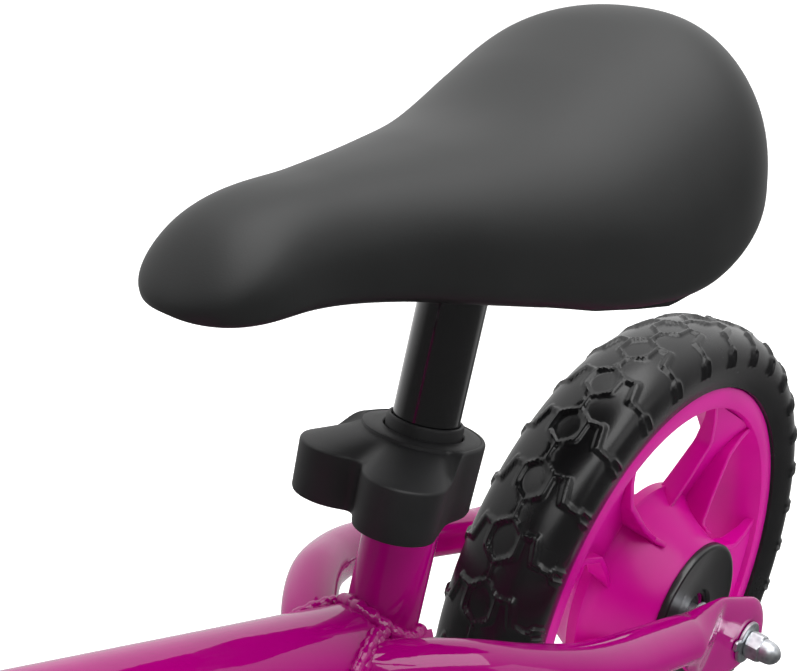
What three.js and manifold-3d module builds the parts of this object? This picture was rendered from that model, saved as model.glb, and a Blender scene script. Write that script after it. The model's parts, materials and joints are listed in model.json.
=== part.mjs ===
// Balance bike, sized for a toddler: 12 inch foam-tyred wheels, welded steel frame, moulded saddle.
// Millimetres. +Z up, wheels stand on z = 0, the bike points along -Y, its left side is +X.
import * as THREE from "three";
import { mergeVertices } from "three/addons/utils/BufferGeometryUtils.js";
import Module from "manifold-3d";

const wasm = await Module();
wasm.setup();

// ---------------------------------------------------------------- driving dimensions
const GAP = 0.3; // clearance left between touching pieces

const WHEELBASE = 560;
const TYRE_R = 148; // outer radius of the 12 inch tyre
const TYRE_HALF_W = 24;
const RIM_R = 117.5; // where the tyre bead meets the rim lip
const RIM_HALF_W = 18.8;
const RIM_LIP = 11; // width of the lip seen beside the tyre
const SPOKES = 5;
const SPOKE_PHASE = 54.9; // degrees, first spoke measured from the rearward horizontal
const HUB_HALF_W = 33.3;
const CAP_R = 39.5;
const CAP_T = 3.6;
const BEARING_R = 11; // 608 ball bearing, 22 x 8 x 7
const BEARING_W = 7;
const AXLE_R = 4; // M8 axle
const AXLE_END = 70; // half length of the axle, inside the dome nuts

const POST_LEAN = 17.9; // degrees behind vertical, shared by seat tube and post
const POST_BASE = new THREE.Vector3(0, WHEELBASE / 2 - 223.5, TYRE_R); // point on the post axis level with the axle
const POST_R = 12.7;
const POST_WALL = 1.6;
const POST_FROM = 74; // distances along the post axis from POST_BASE
const POST_TO = 241.7;
const SEAT_TUBE_R = 14.3;
const SEAT_TUBE_FROM = 43.7;
const SEAT_TUBE_TO = 162.7;
const NUT_FROM = 147.7;
const NUT_TO = 175;
const NUT_EDGE = 167.4; // top of the lobes at their rim
const NUT_R = 23;
const NUT_BORE = 15.6;

const MAIN_TUBE_R = 19;
const MAIN_SLOPE = 0.4; // rise towards the head tube
const MAIN_REF = new THREE.Vector2(WHEELBASE / 2 - 204.8, TYRE_R + 85); // y, z of one point on the main tube axis
const TUBE_WALL = 1.6;
const STAY_R = 11;
const STAY_X = 62; // distance of each stay from the middle plane beside the wheel

const STEER_LEAN = 20;
const FORK_RAKE = 30;
const HEAD_R = 17;
const HEAD_FROM = 186; // distances along the steering axis from its foot beside the front axle
const HEAD_TO = 272;
const STEERER_R = 12.7;
const FORK_X = 62;
const FORK_R = 10;

const BAR_R = 11.1; // handlebar tube 22.2 mm
const BAR_HALF = 205;
const GRIP_R = 15;
const GRIP_LEN = 92;

const rad = THREE.MathUtils.degToRad;
const rearAxle = new THREE.Vector3(0, WHEELBASE / 2, TYRE_R);
const frontAxle = new THREE.Vector3(0, -WHEELBASE / 2, TYRE_R);
const postDir = new THREE.Vector3(0, Math.sin(rad(POST_LEAN)), Math.cos(rad(POST_LEAN)));
const steerDir = new THREE.Vector3(0, Math.sin(rad(STEER_LEAN)), Math.cos(rad(STEER_LEAN)));
const steerBase = frontAxle.clone().add(new THREE.Vector3(0, FORK_RAKE * steerDir.z, -FORK_RAKE * steerDir.y));
const onPost = (t) => POST_BASE.clone().addScaledVector(postDir, t);
const onSteer = (s) => steerBase.clone().addScaledVector(steerDir, s);

const part = new THREE.Group();
part.name = "balance_bike";

// ---------------------------------------------------------------- solids and placing
// A closed geometry as a solid, turned outwards if its faces point in.
function solid(geometry) {
  const g = new THREE.BufferGeometry().setAttribute(
    "position",
    (geometry.index ? geometry.toNonIndexed() : geometry).getAttribute("position"),
  );
  const m = mergeVertices(g, 1e-4);
  const t = new Uint32Array(m.index.array);
  const make = () =>
    new wasm.Manifold(new wasm.Mesh({ numProp: 3, vertProperties: m.attributes.position.array, triVerts: t }));
  const made = make();
  if (made.volume() >= 0) return made;
  for (let i = 0; i < t.length; i += 3) [t[i + 1], t[i + 2]] = [t[i + 2], t[i + 1]];
  return make();
}

// The largest connected piece of a solid, for offcuts left by a mitre.
function largest(s) {
  return s.decompose().sort((a, b) => b.volume() - a.volume())[0];
}

function add(name, made, colour) {
  const m = made.simplify(0.07).getMesh();
  const v = new Float32Array(m.numVert * 3);
  for (let i = 0; i < m.numVert; i++) for (let k = 0; k < 3; k++) v[3 * i + k] = m.vertProperties[i * m.numProp + k];
  const g = new THREE.BufferGeometry()
    .setAttribute("position", new THREE.BufferAttribute(v, 3))
    .setIndex(new THREE.BufferAttribute(new Uint32Array(m.triVerts), 1));
  const mesh = new THREE.Mesh(g, new THREE.MeshStandardMaterial({ color: colour }));
  mesh.name = name;
  part.add(mesh);
}

const PINK = 0xa8106f,
  RIM_PINK = 0xd4008c,
  BLACK = 0x262628,
  RUBBER = 0x1c1c1e,
  ZINC = 0xb9bcc0,
  STEEL = 0x8c9095;

// Geometry moved so its local z axis lies along dir from point at, keeping local x on the bike's x.
function along(geometry, at, dir) {
  const z = dir.clone().normalize();
  const x = new THREE.Vector3(1, 0, 0);
  if (Math.abs(z.x) > 0.9) x.set(0, 1, 0);
  const y = new THREE.Vector3().crossVectors(z, x).normalize();
  x.crossVectors(y, z);
  return geometry.clone().applyMatrix4(new THREE.Matrix4().makeBasis(x, y, z).setPosition(at));
}

// Solid of revolution about local z from closed [radius, z] points, placed along dir.
function turned(profile, at, dir, segments = 28) {
  const g = new THREE.LatheGeometry(
    profile.concat([profile[0]]).map(([r, z]) => new THREE.Vector2(r, z)),
    segments,
  ).rotateX(Math.PI / 2);
  return solid(along(g, at, dir));
}

// Round bar or ring between two distances along dir.
function rod(at, dir, from, to, r, bore = 0, segments = 28) {
  const profile = bore
    ? [[bore, from], [r, from], [r, to], [bore, to]]
    : [[0, from], [r, from], [r, to], [0, to]];
  return turned(profile, at, dir, segments);
}

// Closed skin over rings of equal point count, with flat ends.
function skin(rings) {
  const n = rings[0].length,
    p = [];
  const push = (...v) => v.forEach((q) => p.push(q.x, q.y, q.z));
  for (let i = 0; i + 1 < rings.length; i++)
    for (let j = 0; j < n; j++) {
      const k = (j + 1) % n;
      push(rings[i][j], rings[i][k], rings[i + 1][k]);
      push(rings[i][j], rings[i + 1][k], rings[i + 1][j]);
    }
  for (const [ring, flip] of [[rings[0], true], [rings[rings.length - 1], false]]) {
    const c = ring.reduce((a, q) => a.add(q), new THREE.Vector3()).divideScalar(n);
    for (let j = 0; j < n; j++) {
      const a = ring[j],
        b = ring[(j + 1) % n];
      flip ? push(c, b, a) : push(c, a, b);
    }
  }
  return solid(new THREE.BufferGeometry().setAttribute("position", new THREE.Float32BufferAttribute(p, 3)));
}

// Tube along points; size(i) gives the half sizes across (towards side) and along the other way.
function swept(points, size, segments = 20, side = new THREE.Vector3(1, 0, 0)) {
  const rings = points.map((q, i) => {
    const a = points[Math.max(i - 1, 0)],
      b = points[Math.min(i + 1, points.length - 1)];
    const t = b.clone().sub(a).normalize();
    const u = side.clone().addScaledVector(t, -side.dot(t)).normalize();
    const v = new THREE.Vector3().crossVectors(t, u);
    const [hu, hv] = size(i);
    return Array.from({ length: segments }, (_, j) => {
      const w = ((j + 0.5) / segments) * 2 * Math.PI;
      return q.clone().addScaledVector(u, hu * Math.cos(w)).addScaledVector(v, hv * Math.sin(w));
    });
  });
  return skin(rings);
}

// Plate with a drawn outline in a plane through at, spanned by u and v, t thick along u x v.
function plate(outline, at, u, v, t, holes = []) {
  const s = new THREE.Shape(outline.map(([a, b]) => new THREE.Vector2(a, b)));
  for (const [hx, hy, hr] of holes) {
    const h = new THREE.Path();
    h.absarc(hx, hy, hr, 0, 2 * Math.PI, true);
    s.holes.push(h);
  }
  const g = new THREE.ExtrudeGeometry(s, { depth: t, bevelEnabled: false, curveSegments: 10 });
  const w = new THREE.Vector3().crossVectors(u, v);
  return solid(g.applyMatrix4(new THREE.Matrix4().makeBasis(u, v, w).setPosition(at)));
}

const X = new THREE.Vector3(1, 0, 0);

// ---------------------------------------------------------------- wheels
// Foam tyre: a plain rounded section on the rim bed.
function tyre(axle) {
  const bed = RIM_R - 6 + GAP;
  const outer = [
    [bed, -14],
    [RIM_R + 0.5, -18.2],
    [RIM_R + 0.5, -20],
    [RIM_R + 16, -TYRE_HALF_W],
    [TYRE_R - 6, -21],
    [TYRE_R - 1, -11],
    [TYRE_R, 0],
    [TYRE_R - 1, 11],
    [TYRE_R - 6, 21],
    [RIM_R + 16, TYRE_HALF_W],
    [RIM_R + 0.5, 20],
    [RIM_R + 0.5, 18.2],
    [bed, 14],
  ];
  return turned(outer, axle, X, 36);
}

// A spoke is a channel open to the left, its back rising to that side as it nears the rim; the wall ahead of it is lower.
const SPOKE_BACK = -2.5, // at 47 mm from the axle, and its rise per millimetre from there outwards
  SPOKE_BACK_RISE = 0.26,
  SPOKE_FLOOR_T = 3.4,
  SPOKE_WALL_T = 3.4,
  SPOKE_EDGE = 16.5,
  SPOKE_LOW_EDGE = 9.5,
  SPOKE_LOW_RISE = 0.18;
function spoke(axle, a, inner) {
  const u = new THREE.Vector3(0, Math.cos(a), Math.sin(a));
  const v = new THREE.Vector3(0, -Math.sin(a), Math.cos(a));
  const outline = (back) => {
    const side = [[38, 15], [84, 14], [inner - 1 + (back ? 3 : 0), 28]].map(([r, w]) => [r, w - back]);
    return side.map(([r, w]) => [r, -w]).concat(side.reverse());
  };
  const from = axle.clone().addScaledVector(X, SPOKE_BACK);
  const above = (solid, rise, x) => {
    const n = X.clone().addScaledVector(u, -rise).normalize();
    return solid.trimByPlane(n.toArray(), n.dot(axle.clone().addScaledVector(u, 47).addScaledVector(X, x)));
  };
  const block = above(plate(outline(0), from, u, v, SPOKE_EDGE - SPOKE_BACK), SPOKE_BACK_RISE, SPOKE_BACK);
  const hollow = above(plate(outline(SPOKE_WALL_T), from, u, v, 40), SPOKE_BACK_RISE, SPOKE_BACK + SPOKE_FLOOR_T);
  const ahead = above(plate([[30, 8], [120, 8], [120, 40], [30, 40]], from, u, v, 40), SPOKE_LOW_RISE, SPOKE_LOW_EDGE);
  return block.subtract(hollow).subtract(ahead);
}

// One piece moulded wheel: bed and lips, hub barrel with a dished cone, open U-shaped spokes.
function rim(axle) {
  const inner = RIM_R - RIM_LIP;
  let s = turned(
    [
      [inner, -RIM_HALF_W],
      [RIM_R, -RIM_HALF_W],
      [RIM_R - 6, -14.5],
      [RIM_R - 6, 14.5],
      [RIM_R, RIM_HALF_W],
      [inner, RIM_HALF_W],
    ],
    axle,
    X,
    36,
  );
  s = s.add(
    turned(
      [
        [9, -HUB_HALF_W],
        [CAP_R - 1, -HUB_HALF_W],
        [54, -2.5],
        [54, 2.5],
        [CAP_R - 1, HUB_HALF_W],
        [9, HUB_HALF_W],
      ],
      axle,
      X,
      28,
    ),
  );
  for (let k = 0; k < SPOKES; k++) s = s.add(spoke(axle, rad(SPOKE_PHASE + (360 / SPOKES) * k), inner));
  // bearing seats and the axle passage
  for (const side of [-1, 1])
    s = s.subtract(
      rod(axle, X, side > 0 ? HUB_HALF_W - BEARING_W - 1 : -HUB_HALF_W - 5, side > 0 ? HUB_HALF_W + 5 : -HUB_HALF_W + BEARING_W + 1, BEARING_R + GAP, 0, 16),
    );
  return largest(s);
}

function hubCap(axle, side) {
  const a = side * (HUB_HALF_W + GAP),
    b = side * (HUB_HALF_W + GAP + CAP_T);
  return turned([[9.5, a], [CAP_R, a], [CAP_R - 2.2, b], [9.5, b]], axle, X, 28);
}

function bearing(axle, side) {
  const a = side * (HUB_HALF_W - BEARING_W - 0.5),
    b = side * (HUB_HALF_W - 0.5);
  return turned(
    [
      [AXLE_R + GAP, a],
      [BEARING_R, a],
      [BEARING_R, b],
      [9.2, b],
      [6.3, b - side * 0.7],
      [AXLE_R + GAP, b],
    ],
    axle,
    X,
    16,
  );
}

function hexPrism(axle, from, to, flats, bore) {
  const r = flats / 2 / Math.cos(Math.PI / 6);
  const out = Array.from({ length: 6 }, (_, i) => [r * Math.cos((i * Math.PI) / 3), r * Math.sin((i * Math.PI) / 3)]);
  return plate(
    out,
    axle.clone().addScaledVector(X, Math.min(from, to)),
    new THREE.Vector3(0, 1, 0),
    new THREE.Vector3(0, 0, 1),
    Math.abs(to - from),
    bore ? [[0, 0, bore]] : [],
  );
}

// Dome nut: hexagon with a cap over the axle end.
function domeNut(axle, side, seat) {
  const base = hexPrism(axle, side * seat, side * (seat + 7), 13, 0);
  const dome = turned(
    [
      [0, side * (seat + 2)],
      [5.9, side * (seat + 2)],
      [5.9, side * (seat + 10)],
      [4.4, side * (seat + 14.4)],
      [0, side * (seat + 16.2)],
    ],
    axle,
    X,
    12,
  );
  const bore = rod(axle, X, ...(side > 0 ? [seat - 1, AXLE_END + 0.6] : [-AXLE_END - 0.6, -seat + 1]), AXLE_R + GAP, 0, 10);
  return base.add(dome).subtract(bore);
}

// Retaining washer: a disc with one hooked tab that drops in a hole of the dropout.
function tabWasher(axle, side, seat, tabDir) {
  const disc = rod(axle, X, ...(side > 0 ? [seat, seat + 1.8] : [-seat - 1.8, -seat]), 10.8, AXLE_R + GAP, 18);
  const v = new THREE.Vector3().crossVectors(X, tabDir);
  const tab = plate([[8, -3], [15.5, -2.6], [15.5, 2.6], [8, 3]], axle.clone().addScaledVector(X, side > 0 ? seat + 0.1 : -seat - 1.7), tabDir, v, 1.6);
  return disc.add(tab);
}

function wheel(prefix, axle, plateHalf, tabDir) {
  add(prefix + "_tyre", tyre(axle), RUBBER);
  add(prefix + "_rim", rim(axle), RIM_PINK);
  // sleeve between the two inner races
  add(prefix + "_hub_sleeve", rod(axle, X, -(HUB_HALF_W - BEARING_W - 0.8), HUB_HALF_W - BEARING_W - 0.8, 6.4, AXLE_R + GAP, 14), STEEL);
  add(prefix + "_axle", rod(axle, X, -AXLE_END, AXLE_END, AXLE_R, 0, 14), STEEL);
  for (const [side, tag] of [[1, "left"], [-1, "right"]]) {
    add(`${prefix}_hub_cap_${tag}`, hubCap(axle, side), BLACK);
    add(`${prefix}_bearing_${tag}`, bearing(axle, side), ZINC);
    // spacer tube and lock nut in one turned piece from the inner race out to the dropout
    const a = HUB_HALF_W - 0.2,
      b = STAY_X - 2.8 - GAP;
    const collar = turned(
      [
        [AXLE_R + GAP, side * a],
        [6, side * a],
        [6, side * (a + 6)],
        [7.6, side * (a + 6)],
        [7.6, side * b],
        [AXLE_R + GAP, side * b],
      ],
      axle,
      X,
      14,
    );
    add(`${prefix}_spacer_${tag}`, collar, ZINC);
    add(`${prefix}_washer_${tag}`, tabWasher(axle, side, plateHalf + GAP, tabDir), ZINC);
    add(`${prefix}_dome_nut_${tag}`, domeNut(axle, side, plateHalf + 2 * GAP + 1.8), ZINC);
  }
}

const PLATE_HALF_T = 2.5;
const STAY_SLOPE = 0.4107;
const stayDown = new THREE.Vector3(0, 1, -STAY_SLOPE).normalize();
wheel("rear", rearAxle, STAY_X + PLATE_HALF_T, stayDown.clone().negate());
wheel("front", frontAxle, FORK_X + PLATE_HALF_T, steerDir);

// ---------------------------------------------------------------- frame
// Main tube axis: one straight tube from the seat tube up to the head tube.
const mainAxis = [MAIN_REF.x + 20, onSteer(HEAD_FROM + 24).y].map(
  (y) => new THREE.Vector3(0, y, MAIN_REF.y + MAIN_SLOPE * (MAIN_REF.x - y)),
);
const mainDir = mainAxis[1].clone().sub(mainAxis[0]).normalize();
{
  const length = mainAxis[0].distanceTo(mainAxis[1]);
  const bore = MAIN_TUBE_R - TUBE_WALL;
  const s = rod(mainAxis[0], mainDir, 0, length, MAIN_TUBE_R, bore, 28)
    .subtract(rod(POST_BASE, postDir, 0, 200, SEAT_TUBE_R + GAP, 0, 24))
    .subtract(rod(steerBase, steerDir, HEAD_FROM - 40, HEAD_TO + 40, HEAD_R + GAP, 0, 24));
  add("main_tube", largest(s), PINK);
}
// Seat tube, open at both ends, carrying the post.
add("seat_tube", rod(POST_BASE, postDir, SEAT_TUBE_FROM, SEAT_TUBE_TO, SEAT_TUBE_R, POST_R + GAP, 24), PINK);
// Head tube.
add("head_tube", rod(steerBase, steerDir, HEAD_FROM, HEAD_TO, HEAD_R, HEAD_R - 2, 28), PINK);

// Rear stay: bends out round the tyre from the flank of the main tube, then runs straight to a flattened end.
function stay(side) {
  const base = new THREE.Vector3(0, WHEELBASE / 2 - 173.3, TYRE_R + 96); // on the plane touching the stay tops
  const d = stayDown;
  const n = new THREE.Vector3(0, STAY_SLOPE, 1).normalize();
  const at = (x, s, drop = STAY_R) =>
    base.clone().addScaledVector(X, side * x).addScaledVector(d, s).addScaledVector(n, -drop);
  const bend = new THREE.CatmullRomCurve3(
    [at(9, -40), at(24, -31), at(40, -13.5), at(52, 8), at(59.5, 30), at(STAY_X, 52), at(STAY_X, 80), at(STAY_X, 120)],
    false,
    "centripetal",
  );
  const pts = bend.getPoints(11);
  const straight = pts.length;
  // the axle sits a little under the line of the stay
  const end = rearAxle.clone().addScaledVector(X, side * STAY_X);
  const flat = [];
  const start = pts[straight - 1];
  const steps = 6;
  const tip = end.clone().addScaledVector(d, 21);
  for (let i = 1; i <= steps; i++) flat.push(start.clone().lerp(tip, i / steps));
  const all = pts.concat(flat);
  const sizes = all.map((_, i) => {
    if (i < straight) return [STAY_R, STAY_R];
    const f = (i - straight + 1) / steps;
    const k = Math.min(1, f / 0.38);
    const e = k * k * (3 - 2 * k);
    const round = f > 0.72 ? Math.sqrt(Math.max(0, 1 - ((f - 0.72) / 0.285) ** 2)) : 1;
    return [(STAY_R + (16.5 - STAY_R) * e) * Math.max(0.25, round), STAY_R + (PLATE_HALF_T - STAY_R) * e];
  });
  let s = swept(all, (i) => sizes[i], 14, n);
  const bore = [pts[0].clone().add(pts[0]).sub(pts[1]), ...pts.slice(0, straight - 1)];
  s = s.subtract(swept(bore, () => [STAY_R - TUBE_WALL, STAY_R - TUBE_WALL], 8, n));
  // mitred against the main tube and the seat tube
  s = s.subtract(rod(mainAxis[0], mainDir, -60, 120, MAIN_TUBE_R + GAP, 0, 28));
  s = s.subtract(rod(POST_BASE, postDir, 0, 200, SEAT_TUBE_R + GAP, 0, 24));
  s = s.subtract(rod(end, X, -6, 6, AXLE_R + GAP, 0, 14));
  return largest(s);
}
add("stay_left", stay(1), PINK);
add("stay_right", stay(-1), PINK);

// ---------------------------------------------------------------- seat clamp
// Split bush between post and nut.
{
  let s = rod(POST_BASE, postDir, SEAT_TUBE_TO + GAP, NUT_TO + 4.4, 15.2, POST_R + GAP, 28);
  for (let k = 0; k < 3; k++) {
    const a = rad(200 + 120 * k);
    const u = new THREE.Vector3(Math.cos(a), 0, 0).addScaledVector(new THREE.Vector3().crossVectors(postDir, X), Math.sin(a));
    const v = new THREE.Vector3().crossVectors(postDir, u);
    s = s.subtract(plate([[10, -1.6], [20, -1.6], [20, 1.6], [10, 1.6]], onPost(SEAT_TUBE_TO + 6), u, v, 30));
  }
  add("clamp_bush", largest(s), BLACK);
}

// Hand nut: a round boss with two thumb lobes, their tops falling away from the raised boss.
const LOBES = [
  [19.5, -30.5, 15],
  [-13.5, -27.5, 15.5],
];
{
  const across = new THREE.Vector3().crossVectors(postDir, X);
  const outline = (grow) => {
    let s = null;
    const put = (cx, cy, r, seg) => {
      const pts = Array.from({ length: seg }, (_, i) => [
        cx + (r + grow) * Math.cos((2 * Math.PI * i) / seg),
        cy + (r + grow) * Math.sin((2 * Math.PI * i) / seg),
      ]);
      const q = plate(pts, onPost(NUT_FROM), X, across, 60);
      s = s ? s.add(q) : q;
    };
    put(0, 0, NUT_R, 28);
    for (const [cx, cy, r] of LOBES) {
      put(cx, cy, r, 18);
      // neck joining lobe and boss
      const len = Math.hypot(cx, cy),
        nx = -cy / len,
        ny = cx / len,
        w = r * 0.93;
      s = s.add(
        plate(
          [
            [w * nx, w * ny],
            [-w * nx, -w * ny],
            [cx - w * nx, cy - w * ny],
            [cx + w * nx, cy + w * ny],
          ],
          onPost(NUT_FROM),
          X,
          across,
          60,
        ),
      );
    }
    return s;
  };
  // the top: flat over the boss, then a cone down to the lobe rims
  const roof = turned(
    [
      [0, NUT_FROM],
      [70, NUT_FROM],
      [70, NUT_EDGE - 3.2],
      [46, NUT_EDGE],
      [NUT_R + 3, NUT_TO - 3.4],
      [NUT_R, NUT_TO - 1.8],
      [NUT_R, NUT_TO],
      [0, NUT_TO],
    ],
    POST_BASE,
    postDir,
    28,
  );
  let s = outline(0).intersect(roof);
  s = s.subtract(rod(POST_BASE, postDir, NUT_FROM - 5, NUT_TO + 5, NUT_BORE, 0, 24));
  add("clamp_nut", largest(s), BLACK);
}

// ---------------------------------------------------------------- seat
add("seat_post", rod(POST_BASE, postDir, POST_FROM, POST_TO, POST_R, POST_R - POST_WALL, 24), BLACK);

// The saddle is drawn level and tipped nose down about the rear axle line.
const SADDLE_TIP = 10.9;
const SADDLE_Y = [-226, 33.4]; // nose and tail, behind the rear axle
// Stations: share of length, half width, top, bottom (heights over the axle line).
const SADDLE = [
  [0.0, 31.2, 305.4, 292.3],
  [0.12, 26.2, 316, 284.4],
  [0.25, 30.7, 311.4, 270.4],
  [0.4, 46.5, 304.7, 250.9],
  [0.55, 62.9, 300.3, 232.4],
  [0.7, 71.8, 306.1, 223.2],
  [0.85, 76.1, 312.7, 236.7],
  [1.0, 58, 317.6, 253.9],
];
const tipped = (x, y, z) =>
  new THREE.Vector3(x, y, z).applyAxisAngle(new THREE.Vector3(1, 0, 0), rad(SADDLE_TIP)).add(rearAxle);
const SADDLE_SHELL = 0.3; // share of the height below the widest line

function stationAt(s) {
  let i = 0;
  while (i < SADDLE.length - 2 && s > SADDLE[i + 1][0]) i++;
  const slope = (k, j) => {
    const a = SADDLE[Math.max(j - 1, 0)],
      b = SADDLE[Math.min(j + 1, SADDLE.length - 1)];
    return (b[k] - a[k]) / (b[0] - a[0]);
  };
  const [a, b] = [SADDLE[i], SADDLE[i + 1]],
    h = b[0] - a[0],
    t = (s - a[0]) / h;
  return [1, 2, 3].map((k) => {
    const m0 = slope(k, i) * h,
      m1 = slope(k, i + 1) * h;
    return (
      (2 * t ** 3 - 3 * t * t + 1) * a[k] + (t ** 3 - 2 * t * t + t) * m0 + (-2 * t ** 3 + 3 * t * t) * b[k] + (t ** 3 - t * t) * m1
    );
  });
}

function saddleRings(count, seg) {
  const ease = (u, a, n) => (1 - (1 - Math.min(1, Math.max(0, u / a))) ** n) ** (1 / n);
  const rings = [];
  for (let i = 0; i < count; i++) {
    const s = (1 - Math.cos(Math.PI * (0.03 + (0.94 * i) / (count - 1)))) / 2;
    const [w, top, bottom] = stationAt(s);
    const ew = ease(s, 0.12, 2.2) * ease(1 - s, 0.34, 2.2),
      eh = ease(s, 0.1, 2.2) * ease(1 - s, 0.2, 2.2);
    const mid = bottom + SADDLE_SHELL * (top - bottom);
    const y = SADDLE_Y[0] + (SADDLE_Y[1] - SADDLE_Y[0]) * s;
    rings.push(
      Array.from({ length: seg }, (_, j) => {
        const a = ((j + 0.5) / seg) * 2 * Math.PI,
          cx = Math.cos(a),
          sz = Math.sin(a);
        const e = sz > 0 ? 2 / 2.35 : 2 / 3.6;
        const h = sz > 0 ? top - mid : mid - bottom;
        return tipped(w * ew * Math.sign(cx) * Math.abs(cx) ** e, y, mid + h * eh * Math.sign(sz) * Math.abs(sz) ** e);
      }),
    );
  }
  return rings;
}

const PAN_LOW = 4; // the pan sits this far up inside the cushion's edge
const PAN_T = 6;
const PAN_INSET = 7;
const BRACKET_T = 3;
const BOSS = [30, 33]; // half sizes of the boss over the bracket, across and along
const POCKET = [24.5, 27.5]; // half sizes of the pocket the bracket sits in
{
  const floor = (y) => stationAt((y - SADDLE_Y[0]) / (SADDLE_Y[1] - SADDLE_Y[0]))[2];
  // slab that follows the underside between two heights over it
  const slab = (low, high, ends) => {
    const rings = [];
    for (let i = 0; i <= 8; i++) {
      const y = SADDLE_Y[0] + ends + ((SADDLE_Y[1] - SADDLE_Y[0] - 2 * ends) * i) / 8;
      rings.push([[-120, low], [120, low], [120, high], [-120, high]].map(([x, z]) => tipped(x, y, floor(y) + z)));
    }
    return skin(rings);
  };
  // outline of the pan seen from below, as a tall prism
  const footprint = (inset) => {
    const left = [],
      right = [];
    for (let i = 0; i <= 12; i++) {
      const s = 0.06 + (0.86 * i) / 12;
      const ease = (u, a, n) => (1 - (1 - Math.min(1, Math.max(0, u / a))) ** n) ** (1 / n);
      const w = stationAt(s)[0] * ease(s, 0.12, 2.2) * ease(1 - s, 0.34, 2.2) - inset;
      const y = SADDLE_Y[0] + (SADDLE_Y[1] - SADDLE_Y[0]) * s + (i === 0 ? inset - PAN_INSET : i === 12 ? PAN_INSET - inset : 0);
      left.push([w, y]);
      right.unshift([-w, y]);
    }
    const up = tipped(0, 0, 1).sub(rearAxle),
      back = tipped(0, 1, 0).sub(rearAxle);
    return plate(left.concat(right), rearAxle.clone().addScaledVector(up, 150), X, back, 300);
  };
  const across = new THREE.Vector3().crossVectors(postDir, X);
  const box = (u, v, from, to) => plate([[-u, -v], [u, -v], [u, v], [-u, v]], onPost(from), X, across, to - from);
  const bossTop = POST_TO + GAP + BRACKET_T + 12;
  const cushion = skin(saddleRings(22, 24))
    .subtract(footprint(PAN_INSET).intersect(slab(-30, PAN_LOW + PAN_T + GAP, 4)))
    .subtract(box(BOSS[0] + GAP, BOSS[1] + GAP, bossTop - 60, bossTop + GAP));
  add("saddle", largest(cushion), BLACK);

  // Pan with a boss over the bracket, the bracket let in from below, and three screw holes.
  const screws = [[-15, -19], [15, -19], [0, 19]].map(([a, b]) => POST_BASE.clone().addScaledVector(X, a).addScaledVector(across, b));
  const bossRoom = slab(PAN_LOW, 60, 6);
  let pan = footprint(PAN_INSET + GAP).intersect(slab(PAN_LOW, PAN_LOW + PAN_T, 6));
  pan = pan.add(box(BOSS[0], BOSS[1], bossTop - 50, bossTop).intersect(bossRoom));
  pan = pan.subtract(box(POCKET[0], POCKET[1], bossTop - 80, POST_TO + BRACKET_T + 2 * GAP));
  for (const at of screws) pan = pan.subtract(rod(at, postDir, POST_TO, POST_TO + 12, 2 + GAP, 0, 10));
  add("saddle_pan", largest(pan), BLACK);

  let bracket = box(23, 26, POST_TO + GAP, POST_TO + GAP + BRACKET_T);
  for (const at of screws) bracket = bracket.subtract(rod(at, postDir, POST_TO - 5, POST_TO + 20, 2 + GAP, 0, 10));
  add("saddle_bracket", bracket, STEEL);
  screws.forEach((at, i) => {
    const under = POST_TO; // lower face of the bracket, less the gap
    const head = turned(
      [[0, under - 2.4], [2, under - 2.2], [3.6, under - 1.2], [3.9, under], [2, under], [2, under + 11.5], [0, under + 11.5]],
      at,
      postDir,
      10,
    );
    add(`saddle_screw_${i + 1}`, head, ZINC);
  });
}

// ---------------------------------------------------------------- fork and headset
const CROWN = HEAD_FROM - 20; // height of the blades where they leave the steerer
// Fork blade: leaves the crown, runs down beside the wheel and ends in a flattened dropout.
function forkLeg(side) {
  const n = new THREE.Vector3(0, -steerDir.z, steerDir.y); // forwards, square to the steering axis
  const at = (x, s, f) => onSteer(s).addScaledVector(X, side * x).addScaledVector(n, f);
  const curve = new THREE.CatmullRomCurve3(
    [at(13, CROWN + 1, 0), at(34, CROWN, 0), at(53, CROWN - 11, 0), at(FORK_X - 1, CROWN - 34, 0), at(FORK_X, CROWN - 66, 1), at(FORK_X, 70, 5), at(FORK_X, 44, 12)],
    false,
    "centripetal",
  );
  const pts = curve.getPoints(10);
  const end = frontAxle.clone().addScaledVector(X, side * FORK_X);
  const start = pts[pts.length - 1];
  const dir = end.clone().sub(start).normalize();
  const tip = end.clone().addScaledVector(dir, 15);
  const all = pts.slice();
  const steps = 5;
  for (let i = 1; i <= steps; i++) all.push(start.clone().lerp(tip, i / steps));
  const size = (i) => {
    if (i < pts.length) return [FORK_R, FORK_R];
    const f = (i - pts.length + 1) / steps;
    const k = Math.min(1, f / 0.45);
    const e = k * k * (3 - 2 * k);
    const round = f > 0.76 ? Math.sqrt(Math.max(0, 1 - ((f - 0.76) / 0.245) ** 2)) : 1;
    return [(FORK_R + (14 - FORK_R) * e) * Math.max(0.3, round), FORK_R + (PLATE_HALF_T - FORK_R) * e];
  };
  let s = swept(all, size, 12, n);
  const bore = [pts[0].clone().add(pts[0]).sub(pts[1]), ...pts.slice(0, pts.length - 1)];
  s = s.subtract(swept(bore, () => [FORK_R - TUBE_WALL, FORK_R - TUBE_WALL], 8, n));
  s = s.subtract(rod(end, X, -6, 6, AXLE_R + GAP, 0, 14));
  s = s.subtract(rod(steerBase, steerDir, HEAD_FROM - 60, HEAD_TO, 16 + GAP, 0, 28));
  return largest(s);
}
add("fork_leg_left", forkLeg(1), PINK);
add("fork_leg_right", forkLeg(-1), PINK);
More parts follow.
